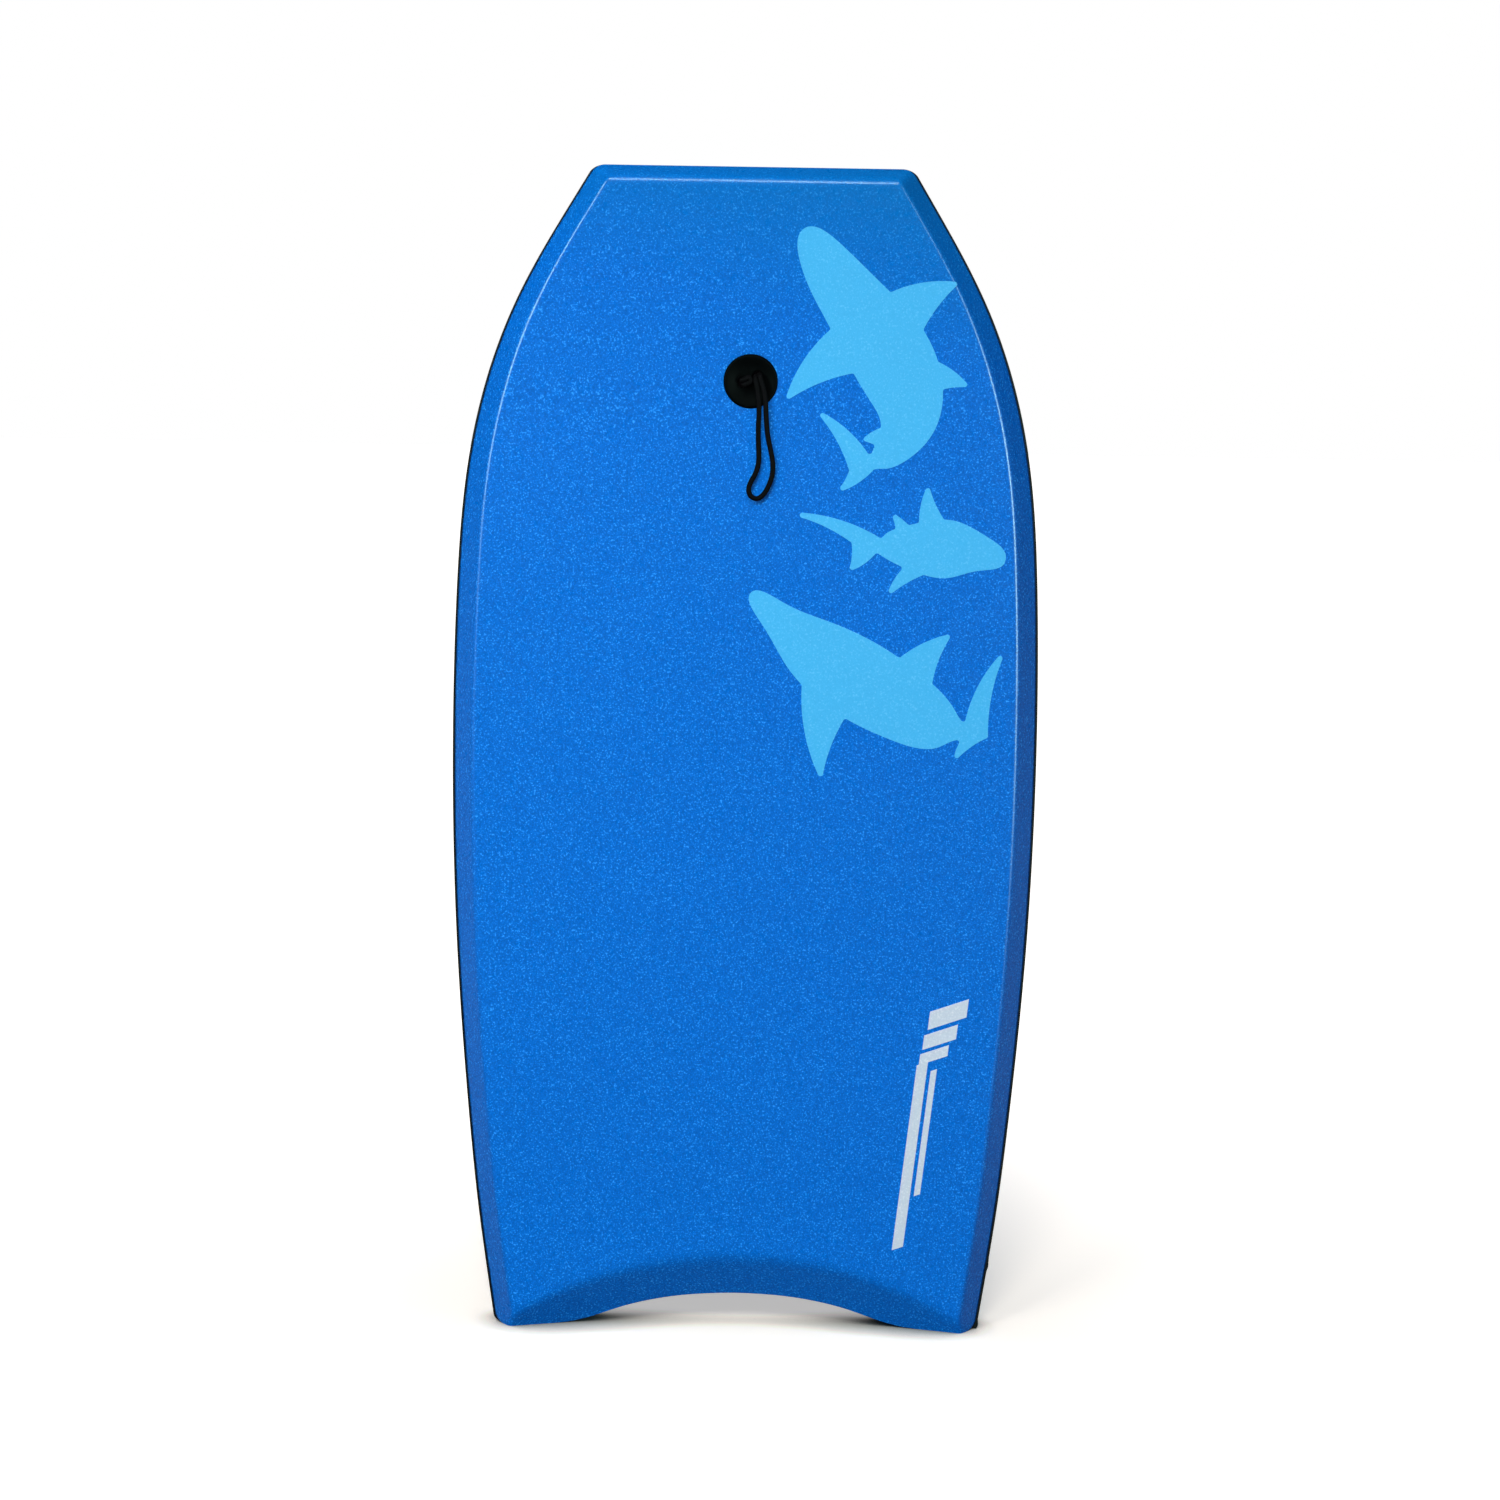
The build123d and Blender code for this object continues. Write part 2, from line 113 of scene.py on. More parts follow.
# the string's route in the plug's axes, in millimetres: right, up and out from the deck
STRING_ROUTE = (
    (3.7, 3.5, -4.5), (3.7, 3.5, 0.2), (4.0, 0.7, 2.9), (5.5, -6.2, 4.1), (6.8, -15.2, 6.0),
    (7.1, -25.2, 6.0), (6.5, -35.8, 4.9), (6.8, -46.4, 4.6), (7.5, -57.0, 4.8), (7.2, -65.7, 5.0),
    (4.6, -73.4, 5.2), (1.1, -79.2, 5.3), (-0.7, -85.2, 5.5), (1.6, -90.8, 5.6), (7.0, -92.6, 5.6),
    (12.0, -88.6, 5.6), (15.8, -81.6, 5.5), (18.5, -73.2, 5.2), (18.7, -63.6, 5.0),
    (16.8, -54.0, 4.8), (14.6, -44.9, 4.7), (13.2, -35.2, 5.1), (12.6, -25.6, 6.1),
    (12.1, -16.5, 6.0), (11.0, -8.5, 4.4), (9.2, -2.4, 3.9), (7.5, 2.4, 2.9), (7.1, 5.1, 0.2),
    (7.1, 5.1, -4.5))
# the folded bight, along and across the line through the two holes, and out; mirrored across
BIGHT_HALF_ROUTE = ((-6.4, -2.0, -4.5), (-6.4, -2.0, -1.0), (-6.3, -2.0, 1.0), (-4.6, -2.0, 1.4),
                    (-2.6, -2.0, 1.3), (-0.9, -2.0, 1.3), (0.2, -1.2, 1.3))

# ---- mesh grids: the lines lie closer together at the rim, along the creases and round the plug ----
PATCH = 32 * MM             # half side of the square round the plug where the mesh turns into rings
PATCH_CELLS = 16
INNER_COLUMNS = 19
TAIL_ROWS = 18
LOWER_ROWS = 76
UPPER_ROWS = 11
NOSE_ROWS = 15
CREASE_REACH = 194 * MM     # the line above the tail bevel is level beyond this
CREASE_MARGIN = 9 * MM      # how far that line lies above the crease
NOSE_MARGIN = 6 * MM        # how far the nose rows start below the round corners
ROUGH_WIDTH = 0.2           # a first half-width, which the rounds bring to a row's own
WIDTH_ROUNDS = 12
RIM_GAPS = [gap * MM for gap in (0, 1.2, 3, 5.5, 8, 10.5, 12.5, 13.8, 14.7, 15.4, 16, 16.6, 17.3, 18.2,
                                 20, 23.5, 30)]
RING_RADII = [radius * MM for radius in (16, 18, 20, 21, 21.4, 21.7, 22.2, 23, 24.2, 26, 28.6)]
# steps along the outline: from the middle of the tail, a round corner, a side, and to the middle of the nose
TAIL_STEPS = 92
CORNER_STEPS = 16
SIDE_STEPS = 230
NOSE_STEPS = 50


def layer_y(depth, z):
    """Y of the layer at a given depth under the deck; the nose curves forward above the rocker's start."""
    if z <= ROCKER_START:
        return DECK_Y + depth
    radius = ROCKER_RADIUS + depth
    return DECK_Y - ROCKER_RADIUS + radius * cos(asin((z - ROCKER_START) / radius))


def spline_through(places, values):
    """A natural cubic spline through the given values, as a function."""
    count = len(places)
    step = np.diff(places)
    system = np.eye(count)
    right = np.zeros(count)
    for i in range(1, count - 1):
        system[i, i - 1:i + 2] = step[i - 1], 2 * (step[i - 1] + step[i]), step[i]
        right[i] = 6 * ((values[i + 1] - values[i]) / step[i] - (values[i] - values[i - 1]) / step[i - 1])
    bend = np.linalg.solve(system, right)

    def at(place):
        i = int(min(max(np.searchsorted(places, place) - 1, 0), count - 2))
        before, after, span = place - places[i], places[i + 1] - place, step[i]
        curve = (bend[i] * after ** 3 + bend[i + 1] * before ** 3) / (6 * span)
        left = (values[i] / span - bend[i] * span / 6) * after
        return curve + left + (values[i + 1] / span - bend[i + 1] * span / 6) * before

    return at


def measure(node, origin, direction):
    """Where a ray first meets a CAD node."""
    tree = BVHTree.FromObject(NODES[node], bpy.context.evaluated_depsgraph_get())
    return tree.ray_cast(Vector(origin), Vector(direction))[0]


def measured_side():
    """Half-width of the apex line against height, read from the CAD deck skin just above its edge."""
    heights = np.linspace(*SIDE_REACH, 13)
    level = CHINE_DEPTH * 0.995
    widths = [measure("deck_skin", (1, layer_y(level, z), z), (-1, 0, 0)).x for z in heights]
    return spline_through(heights, widths)


def measured_crescent():
    """Height of the tail edge against distance from the middle, read from the CAD slick."""
    level = layer_y(THICKNESS - SLICK / 2, 0)
    places = np.linspace(0, CRESCENT_REACH, 9)
    heights = [measure("slick_bottom", (x, level, -1), (0, 0, 1)).z for x in places]
    opposite = [-x for x in places[:0:-1]]
    return spline_through([*opposite, *places], [*heights[:0:-1], *heights])


DECK_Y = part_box("deck_print_low")[1].y
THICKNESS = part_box("slick_bottom")[1].y - DECK_Y
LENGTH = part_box("nose_band")[1].z
side_line = measured_side()
crescent_line = measured_crescent()
CRESCENT_TOP = crescent_line(0)
TAIL_GROWTH = (side_line(GROWTH_SPAN) - side_line(0)) / GROWTH_SPAN
NOSE_GROWTH = (side_line(LENGTH - GROWTH_SPAN) - side_line(LENGTH)) / GROWTH_SPAN


def tail_line(x):
    """Height of the tail edge: the crescent between two level ends."""
    return max(crescent_line(x), 0) if abs(x) < CRESCENT_REACH else 0.0


def crease_line(x):
    """Height of the crease between the deck and the tail bevel."""
    return CRESCENT_TOP + TAIL_BEVEL_RISE - TAIL_RADIUS + sqrt(TAIL_RADIUS ** 2 - x * x)


def soft_max(first, second, softness):
    """The greater of two depths, blended where they are close, which rounds the crease."""
    blend = max(softness - abs(first - second), 0) / softness
    return max(first, second) + blend * blend * softness / 4


def rounded(width, gap, radius, growth):
    """A half-width drawn in by a round corner; growth is how fast it widens with the gap from the end."""
    lean = atan(growth)
    tangent = radius * tan((pi / 2 - lean) / 2)
    if gap >= tangent * cos(lean):
        return width
    corner = width - growth * gap
    return corner - tangent + sqrt(max(radius ** 2 - (radius - gap) ** 2, 0))


class Layer:
    """One surface of the board: how far its outline is drawn in, and how deep it lies."""

    def __init__(self, side, nose, tail, depth):
        self.side = side
        self.nose = nose
        self.tail = tail
        self.depth = depth

    def half_width(self, z):
        """Half of the layer's width at a height, round corners included."""
        width = side_line(z) - self.side
        width = rounded(width, z - self.tail, TAIL_CORNER - self.tail, TAIL_GROWTH)
        return rounded(width, LENGTH - self.nose - z, NOSE_CORNER - self.nose, NOSE_GROWTH)

    def low(self, x):
        """Height of the layer's tail edge."""
        return tail_line(x) + self.tail

    def high(self):
        """Height of the layer's nose edge."""
        return LENGTH - self.nose

    def point(self, x, z):
        """The point of the layer at a place on the board."""
        return Vector((x, layer_y(self.depth(self, x, z), z), z))


def dimple(x, z):
    """How deep the plug's flange presses the foam, under it and in a soft ring round it."""
    out = hypot(x, z - PLUG_Z) - FLANGE_RADIUS
    if out < 0:
        return FLANGE_SUNK + FLANGE_CLEAR
    near_depth, near_reach = PRESS_NEAR
    far_depth, far_reach = PRESS_FAR
    return near_depth * exp(-out / near_reach) + far_depth * exp(-(out / far_reach) ** 2)


def waves(x, z, per_metre, plane):
    """Slow random waves over the board, -1 to 1; another plane of the noise gives other waves."""
    return noise.noise(Vector((x * per_metre, plane, z * per_metre)))


def deck_depth(layer, x, z):
    """Flat deck, side chines, nose bevel and tail bevel, with softly rounded creases."""
    side_gap = side_line(z) - layer.side - abs(x)
    side = CHINE_DEPTH * (1 - side_gap / CHINE_INSET)
    nose = CHINE_DEPTH * (1 - (LENGTH - layer.nose - z) / NOSE_BEVEL)
    tail = CHINE_DEPTH * (crease_line(x) - z) / TAIL_BEVEL_RISE + layer.tail
    depth = soft_max(layer.tail, side, CHINE_SOFT)
    depth = soft_max(depth, nose, NOSE_SOFT)
    depth = soft_max(depth, tail, TAIL_SOFT)
    bevel = min(max(depth - layer.tail, 0) / WAVE_FADE, 1) * min((CHINE_DEPTH - depth) / WAVE_FADE, 1)
    if bevel > 0:
        depth += bevel * (BEVEL_WAVE * waves(x, z, 9, 3.1))
    return min(depth, CHINE_DEPTH) + dimple(x, z)


def flat_depth(depth):
    """A layer's depth function that is the same everywhere."""
    return lambda layer, x, z: depth


def slick_depth(layer, x, z):
    """The slick sheet's outer face, rolled over a little at its edge."""
    gap = min(side_line(z) - layer.side - abs(x), LENGTH - layer.nose - z, z - layer.low(x))
    return THICKNESS - SLICK_ROLL * max(1 - gap / SLICK_ROLL_REACH, 0) ** 2


def spread(low, high, count):
    """Evenly spaced values from low on, high left out."""
    return [low + (high - low) * i / count for i in range(count)]


def column_places(width):
    """X of the mesh columns, left to right, for a row of the given half-width."""
    patch = [PATCH * i / (PATCH_CELLS / 2) for i in range(PATCH_CELLS // 2)]
    inner = spread(PATCH, width - RIM_GAPS[-1], INNER_COLUMNS)
    right = patch + inner + [width - gap for gap in RIM_GAPS[::-1]]
    return [-x for x in right[:0:-1]] + right


def row_lines(layer):
    """The mesh rows, tail to nose: each is a share of the way between two lines across the board."""
    def bevel_top(x):
        return crease_line(min(abs(x), CREASE_REACH)) + CREASE_MARGIN + layer.tail

    lines = [layer.low, bevel_top, lambda x: PLUG_Z - PATCH, lambda x: PLUG_Z + PATCH,
             lambda x: layer.high() - NOSE_CORNER - NOSE_MARGIN, lambda x: layer.high()]
    shares = [[1 - cos(pi / 2 * i / TAIL_ROWS) for i in range(TAIL_ROWS)],
              spread(0, 1, LOWER_ROWS), spread(0, 1, PATCH_CELLS), spread(0, 1, UPPER_ROWS),
              [sin(pi / 2 * i / NOSE_ROWS) for i in range(NOSE_ROWS + 1)]]
    rows = []
    for low, high, steps in zip(lines, lines[1:], shares):
        rows += [(low, high, share) for share in steps]
    return rows


def row_width(layer, low, high, share):
    """Half-width of the layer where one row of the grid meets its side."""
    width = ROUGH_WIDTH
    for _ in range(WIDTH_ROUNDS):
        width = layer.half_width(low(width) * (1 - share) + high(width) * share)
    return width


def grid_rows(layer, mesh):
    """Adds the grid's points over one layer, row by row from the tail."""
    rows = []
    for low, high, share in row_lines(layer):
        row = []
        for x in column_places(row_width(layer, low, high, share)):
            z = low(x) * (1 - share) + high(x) * share
            row.append(mesh.verts.new(layer.point(x, z)))
        rows.append(row)
    return rows


def plug_rings(layer, mesh, edge):
    """Adds the rings of points between the square patch's edge and the plug."""
    rings = [edge]
    for radius in RING_RADII[::-1]:
        ring = []
        for vert in edge:
            away = Vector((vert.co.x, vert.co.z - PLUG_Z)).normalized() * radius
            ring.append(mesh.verts.new(layer.point(away.x, PLUG_Z + away.y)))
        rings.append(ring)
    return rings


def surface(layer, mesh):
    """A grid over one layer with a round hole for the plug: adds it to the mesh and gives rows and rings."""
    rows = grid_rows(layer, mesh)
    middle = len(rows[0]) // 2
    left, right = middle - PATCH_CELLS // 2, middle + PATCH_CELLS // 2
    bottom = TAIL_ROWS + LOWER_ROWS
    top = bottom + PATCH_CELLS
    for row in rows[bottom + 1:top]:
        for vert in row[left + 1:right]:
            mesh.verts.remove(vert)
    edge = [rows[bottom][i] for i in range(left, right)]
    edge += [rows[j][right] for j in range(bottom, top)]
    edge += [rows[top][i] for i in range(right, left, -1)]
    edge += [rows[j][left] for j in range(top, bottom, -1)]
    rings = plug_rings(layer, mesh, edge)
    for j in range(len(rows) - 1):
        for i in range(len(rows[0]) - 1):
            if bottom <= j < top and left <= i < right:
                continue
            mesh.faces.new((rows[j][i], rows[j][i + 1], rows[j + 1][i + 1], rows[j + 1][i]))
    for outer, inner in zip(rings, rings[1:]):
        strip(mesh, outer, inner)
    return rows, rings


def strip(mesh, first, second):
    """A closed band of quads between two loops of the same count."""
    count = len(first)
    for i in range(count):
        after = (i + 1) % count
        mesh.faces.new((first[i], first[after], second[after], second[i]))


def rim(rows):
    """The outermost points of a grid as one loop."""
    loop = list(rows[0])
    loop += [row[-1] for row in rows[1:]]
    loop += rows[-1][-2::-1]
    loop += [row[0] for row in rows[-2:0:-1]]
    return loop


def plate(name, first, second):
    """A closed sheet between two layers, bored for the plug."""
    mesh = bmesh.new()
    front_rows, front_rings = surface(first, mesh)
    back_rows, back_rings = surface(second, mesh)
    strip(mesh, rim(front_rows), rim(back_rows))
    strip(mesh, front_rings[-1], back_rings[-1])
    return finished(name, mesh)


def finished(name, mesh):
    """Turns a bmesh into a smooth-shaded object that rides on the board."""
    bmesh.ops.recalc_face_normals(mesh, faces=mesh.faces)
    data = bpy.data.meshes.new(name)
    mesh.to_mesh(data)
    mesh.free()
    data.polygons.foreach_set("use_smooth", [True] * len(data.polygons))
    made = bpy.data.objects.new(name, data)
    bpy.context.collection.objects.link(made)
    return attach(made, "root")


def side_heights():
    """Heights of the outline's points, close together round the two corners."""
    tail = [TAIL_CORNER * (1 - cos(pi / 2 * i / CORNER_STEPS)) for i in range(CORNER_STEPS)]
    nose = [LENGTH - NOSE_CORNER * (1 - sin(pi / 2 * i / CORNER_STEPS)) for i in range(CORNER_STEPS + 1)]
    return tail + spread(TAIL_CORNER, LENGTH - NOSE_CORNER, SIDE_STEPS) + nose


def outline():
    """The right half of the apex line, from the middle of the tail round to the middle of the nose."""
    outer = Layer(0, 0, 0, deck_depth)
    tail_end = outer.half_width(0)
    nose_end = outer.half_width(LENGTH)
    points = [(x, tail_line(x)) for x in spread(0, tail_end, TAIL_STEPS)]
    points += [(outer.half_width(z), z) for z in side_heights()]
    points += [(x, LENGTH) for x in spread(nose_end, 0, NOSE_STEPS)[1:]]
    return [Vector(point) for point in points] + [Vector((0, LENGTH))]


def outward(points):
    """Outward directions of an outline that runs anticlockwise as seen from the front."""
    found = []
    for i in range(len(points)):
        along = points[min(i + 1, len(points) - 1)] - points[max(i - 1, 0)]
        found.append(Vector((along.y, -along.x)).normalized())
    return found


def band_profile(proud):
    """Section of a side band as (out, depth): a strip with rounded outer edges."""
    top, bottom, curl = CHINE_DEPTH + 0.02 * MM, THICKNESS - SLICK, STRIP_CURL
    section = [(-SKIN_SIDE, top), (-SKIN_SIDE / 2, top)]
    section += [(proud - curl + curl * sin(a), top + curl - curl * cos(a)) for a in spread(0, pi / 2, 5)]
    section += [(proud, depth) for depth in spread(top + curl, bottom - curl, 8)]
    section += [(proud - curl + curl * cos(a), bottom - curl + curl * sin(a)) for a in spread(0, pi / 2, 5)]
    section += [(proud - curl, bottom), (-SKIN_SIDE / 2, bottom), (-SKIN_SIDE, bottom)]
    return section


def corner_bulge(point, normal, size):
    """How far a strip bulges out of the rounded tail corner, almost down to the floor at most."""
    if normal.y >= 0:
        return 0.0
    return min(size * (2 * normal.x * normal.y) ** 2, 0.95 * point.y / -normal.y)


def seam_bump(point):
    """The glued end of the right strip, a small step above the tail corner."""
    return SEAM_STEP * exp(-((point.y - SEAM_Z) / SEAM_SPREAD) ** 2) if point.x > 0 else 0.0


def band(name, points, normals, proud, bulge=0.0):
    """A foam strip swept along part of the outline, undercut towards the slick, never below the floor."""
    mesh = bmesh.new()
    strip_height = THICKNESS - SLICK - CHINE_DEPTH
    sections = []
    for point, normal in zip(points, normals):
        undercut = RAIL_INSET * normal.x ** 2 + NOSE_UNDERCUT * max(normal.y, 0) ** 2
        slope = undercut / (THICKNESS - CHINE_DEPTH)
        wave = STRIP_WAVE * waves(point.x, point.y, 14, 7.7)
        stand = proud * normal.x ** 2 + corner_bulge(point, normal, bulge)
        if proud:
            stand += seam_bump(point)
        section = []
        for out, depth in band_profile(stand):
            edge = min(depth - CHINE_DEPTH, THICKNESS - SLICK - depth) / strip_height
            shift = out - slope * (depth - CHINE_DEPTH) + wave * edge * normal.x ** 2 * (out > 0)
            place = point + normal * shift
            z = max(place.y, 0)
            section.append(mesh.verts.new((place.x, layer_y(depth, z), z)))
        sections.append(section)
    for first, second in zip(sections, sections[1:]):
        strip(mesh, first, second)
    mesh.faces.new(sections[0])
    mesh.faces.new(sections[-1][::-1])
    return finished(name, mesh)


def mirrored(points):
    """The same line on the board's other half, in the opposite order."""
    return [Vector((-point.x, point.y)) for point in points[::-1]]


def side_bands():
    """The strips round the board's edge: left rail, right rail, tail and nose."""
    half = outline()
    normals = outward(half)
    first = next(i for i, point in enumerate(half) if point.x >= RAIL_WRAP_X)
    last = next(i for i, point in enumerate(half) if point.y > 0.9 * LENGTH and point.x <= NOSE_BAND_X)
    rail, rail_normals = half[first:last + 1], normals[first:last + 1]
    right = band("rail_strip_right", rail, rail_normals, RAIL_PROUD, RIGHT_BULGE)
    left = band("rail_strip_left", mirrored(rail), mirrored(rail_normals), RAIL_PROUD, LEFT_BULGE)
    end = first + 1
    tail_points = mirrored(half[1:end]) + half[:end]
    tail_normals = mirrored(normals[1:end]) + normals[:end]
    tail = band("tail_strip", tail_points, tail_normals, 0)
    nose_points = half[last:] + mirrored(half[last:-1])
    nose_normals = normals[last:] + mirrored(normals[last:-1])
    nose = band("nose_strip", nose_points, nose_normals, 0)
    return left, right, tail, nose


def plug_axes():
    """The plug's origin and its right, up and out directions."""
    tilt = asin((PLUG_Z - ROCKER_START) / ROCKER_RADIUS)
    origin = Vector((0, layer_y(0, PLUG_Z), PLUG_Z))
    return origin, Vector((1, 0, 0)), Vector((0, -sin(tilt), cos(tilt))), Vector((0, -cos(tilt), -sin(tilt)))


def from_plug(route):
    """A route given in the plug's axes, in the shared frame."""
    origin, right, up, out = plug_axes()
    return [origin + (right * x + up * y + out * z) * MM for x, y, z in route]


def along_route(points):
    """Close points along the smooth NURBS line that has the given control points."""
    curve = bpy.data.curves.new("route", "CURVE")
    curve.dimensions = "3D"
    curve.resolution_u = 24
    spline = curve.splines.new("NURBS")
    spline.points.add(len(points) - 1)
    for point, place in zip(spline.points, points):
        point.co = (*place, 1)
    spline.order_u = 3
    spline.use_endpoint_u = True
    holder = bpy.data.objects.new("route", curve)
    bpy.context.collection.objects.link(holder)
    line = bpy.data.meshes.new_from_object(holder.evaluated_get(bpy.context.evaluated_depsgraph_get()))
    found = [vert.co.copy() for vert in line.vertices]
    bpy.data.objects.remove(holder)
    bpy.data.meshes.remove(line)
    return found


def evenly(points, step):
    """The same line with evenly spaced points, a step apart at most."""
    reach = np.concatenate(([0], np.cumsum([(b - a).length for a, b in zip(points, points[1:])])))
    count = ceil(reach[-1] / step)
    places = np.linspace(0, reach[-1], count + 1)
    columns = [np.interp(places, reach, [point[axis] for point in points]) for axis in range(3)]
    return [Vector(place) for place in zip(*columns)]


def braid_height(angle, along):
    """Relief of a braided sheath, 0 to 1: two families of plaits that pass over and under each other."""
    first = BRAID_PLAITS / 2 * angle + along
    second = BRAID_PLAITS / 2 * angle - along
    over = abs(cos(first)) * (0.62 + 0.38 * sin(2 * second))
    under = abs(cos(second)) * (0.62 - 0.38 * sin(2 * first))
    return max(over, under)


def braided_cord(name, points, diameter):
    """A braided tube along the given line, closed by flat ends."""
    mesh = bmesh.new()
    pitch = pi * diameter / BRAID_PLAITS
    line = evenly(points, BRAID_STEP)
    side = (line[1] - line[0]).orthogonal().normalized()
    rings = []
    for i, place in enumerate(line):
        tangent = (line[min(i + 1, len(line) - 1)] - line[max(i - 1, 0)]).normalized()
        side = (side - tangent * side.dot(tangent)).normalized()
        other = tangent.cross(side)
        travelled = i * BRAID_STEP / pitch * pi
        ring = []
        for k in range(BRAID_SIDES):
            angle = 2 * pi * k / BRAID_SIDES
            radius = diameter / 2 + BRAID_RELIEF * braid_height(angle, travelled)
            ring.append(mesh.verts.new(place + (side * cos(angle) + other * sin(angle)) * radius))
        rings.append(ring)
    for first, second in zip(rings, rings[1:]):
        strip(mesh, first, second)
    mesh.faces.new(rings[0][::-1])
    mesh.faces.new(rings[-1])
    return finished(name, mesh)


def hole_place(along, across, out):
    """A place given along and across the line through the two holes, in the plug's axes."""
    angle = radians(HOLE_ANGLE)
    return (HOLE_MIDDLE[0] + along * cos(angle) - across * sin(angle),
            HOLE_MIDDLE[1] + along * sin(angle) + across * cos(angle), out)


def make_string():
    """The hanging loop and the folded bight, both braided."""
    route = along_route(from_plug(STRING_ROUTE))
    cord = braided_cord("leash_cord", route, STRING_DIAMETER)
    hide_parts("leash_string")
    half = [hole_place(*point) for point in BIGHT_HALF_ROUTE]
    other = [hole_place(along, -across, out) for along, across, out in BIGHT_HALF_ROUTE[::-1]]
    bight = braided_cord("leash_bight", along_route(from_plug(half + other)), STRING_DIAMETER)
    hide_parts("string_bight")
    return cord, bight


# ---- materials ----

class Nodes:
    """Short calls for building a material's node tree."""

    def __init__(self, name):
        self.material = bpy.data.materials.new(name)
        self.material.use_nodes = True
        self.tree = self.material.node_tree
        self.shader = self.tree.nodes["Principled BSDF"]
        self.place = self.tree.nodes.new("ShaderNodeTexCoord").outputs["Object"]

    def link(self, source, target):
        """Joins an output to an input."""
        self.tree.links.new(source, target)

    def noise(self, scale, detail=2, rough=0.5, stretch=None):
        """Cloudy noise, 0 to 1; stretch scales it differently along each axis."""
        node = self.tree.nodes.new("ShaderNodeTexNoise")
        node.inputs["Scale"].default_value = scale
        node.inputs["Detail"].default_value = detail
        node.inputs["Roughness"].default_value = rough
        self.link(self.stretched(stretch) if stretch else self.place, node.inputs["Vector"])
        return node.outputs["Fac"]

    def cells(self, scale):
        """Distance from the nearest of many scattered points."""
        node = self.tree.nodes.new("ShaderNodeTexVoronoi")
        node.inputs["Scale"].default_value = scale
        self.link(self.place, node.inputs["Vector"])
        return node.outputs["Distance"]

    def axis(self, name):
        """One of the coordinates, in metres."""
        node = self.tree.nodes.new("ShaderNodeSeparateXYZ")
        self.link(self.place, node.inputs[0])
        return node.outputs[name]

    def stretched(self, scale):
        """The object's coordinates, scaled along each axis."""
        node = self.tree.nodes.new("ShaderNodeMapping")
        node.inputs["Scale"].default_value = scale
        self.link(self.place, node.inputs["Vector"])
        return node.outputs["Vector"]

    def ramp(self, value, low, high, start=0.0, end=1.0):
        """The value's range from low to high turned into start to end, and held beyond it."""
        node = self.tree.nodes.new("ShaderNodeMapRange")
        node.inputs["From Min"].default_value = low
        node.inputs["From Max"].default_value = high
        node.inputs["To Min"].default_value = start
        node.inputs["To Max"].default_value = end
        self.link(value, node.inputs["Value"])
        return node.outputs["Result"]

    def math(self, operation, first, second):
        """One operation on two values, each a number or an output."""
        node = self.tree.nodes.new("ShaderNodeMath")
        node.operation = operation
        for socket, value in zip(node.inputs, (first, second)):
            if isinstance(value, (int, float)):
                socket.default_value = value
            else:
                self.link(value, socket)
        return node.outputs[0]

    def mix(self, share, first, second):
        """Two colours mixed; the share is that of the second."""
        node = self.tree.nodes.new("ShaderNodeMix")
        node.data_type = "RGBA"
        for name, value in (("Factor_Float", share), ("A_Color", first), ("B_Color", second)):
            socket = next(s for s in node.inputs if s.identifier == name)
            if isinstance(value, tuple):
                socket.default_value = (*value, 1)
            else:
                self.link(value, socket)
        return next(s for s in node.outputs if s.identifier == "Result_Color")

    def bump(self, height, strength, distance):
        """Normals that follow a height pattern."""
        node = self.tree.nodes.new("ShaderNodeBump")
        node.inputs["Strength"].default_value = strength
        node.inputs["Distance"].default_value = distance
        self.link(height, node.inputs["Height"])
        return node.outputs["Normal"]

    def finish(self, colour, rough, normal, specular):
        """Connects the shader and gives the material."""
        self.link(colour, self.shader.inputs["Base Color"])
        self.link(rough, self.shader.inputs["Roughness"])
        self.link(normal, self.shader.inputs["Normal"])
        self.shader.inputs["Specular IOR Level"].default_value = specular
        return self.material


def foam_material(name, base, dark, glint_colour, grain=1.0, nose_shade=None):
    """Pebbled closed-cell foam: painted glints as fine bright specks on slightly uneven colour, and painted
    shade darker towards the nose if asked.
    """
    nodes = Nodes(name)
    pebble = nodes.noise(690, detail=3, rough=0.65)
    coarse = nodes.noise(230, detail=2)
    cloud = nodes.noise(7, detail=3)
    # painted glints: bright specks in the colour that stand in for light glinting off the foam's cells
    painted_glints = nodes.ramp(nodes.noise(690, detail=1), 0.60, 0.74)
    tone = nodes.ramp(pebble, 0.34, 0.66)
    colour = nodes.mix(tone, dark, base)
    colour = nodes.mix(nodes.math("MULTIPLY", painted_glints, 0.75), colour, glint_colour)
    colour = nodes.mix(nodes.ramp(cloud, 0.35, 0.65, 0.0, 0.08), colour, dark)
    # painted shade: the colour turns darker towards the nose, more so on the right
    if nose_shade:
        towards_nose = nodes.math("ADD", nodes.axis("Z"), nodes.math("MULTIPLY", nodes.axis("X"), 0.25))
        colour = nodes.mix(nodes.ramp(towards_nose, 0.83, 1.0, 0.0, 0.85), colour, nose_shade)
    height = nodes.math("ADD", nodes.math("MULTIPLY", coarse, 0.5), pebble)
    roughness = nodes.ramp(coarse, 0.3, 0.7, 0.26, 0.37)
    return nodes.finish(colour, roughness, nodes.bump(height, 0.3 * grain, 0.4 * MM), 0.05)


